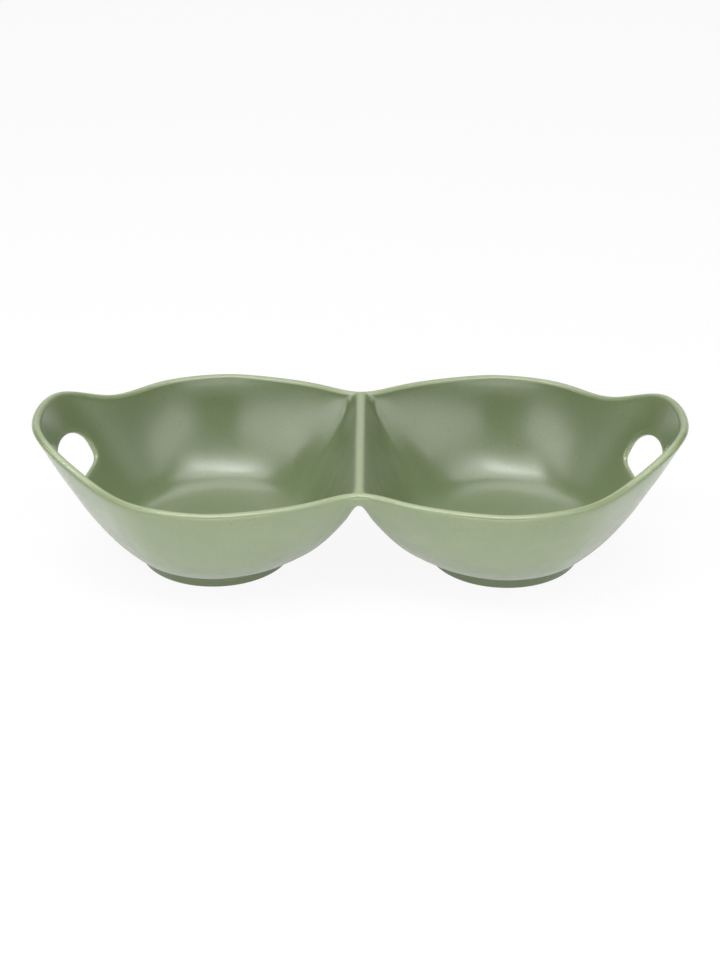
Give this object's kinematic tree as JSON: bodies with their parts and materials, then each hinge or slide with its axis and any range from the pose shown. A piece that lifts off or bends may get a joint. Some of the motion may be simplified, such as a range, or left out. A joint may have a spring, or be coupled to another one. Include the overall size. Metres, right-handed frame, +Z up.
{
  "type": "olive dish",
  "caption": "Twin serving dish of glazed stoneware: leaf-shaped bowls that share a ridge, with a looped finger-hole handle at each end and a low foot ring under each bowl.",
  "frame": {"origin": "on the table under the middle of the dish, between the two bowls", "axes": "+X along the dish towards the right handle, +Y towards the back, +Z up"},
  "size_m": [0.3, 0.149, 0.0711],
  "materials": {
    "glaze": "satin sage green glaze with fine speckle",
    "foot": "satin sage green glaze, wiped off the standing face"
  },
  "bodies": {
    "root": {"left_bowl": "glaze", "right_bowl": "glaze", "bridge": "glaze", "left_handle": "glaze", "right_handle": "glaze", "left_foot_ring": "foot", "right_foot_ring": "foot"}
  },
  "joints": []
}
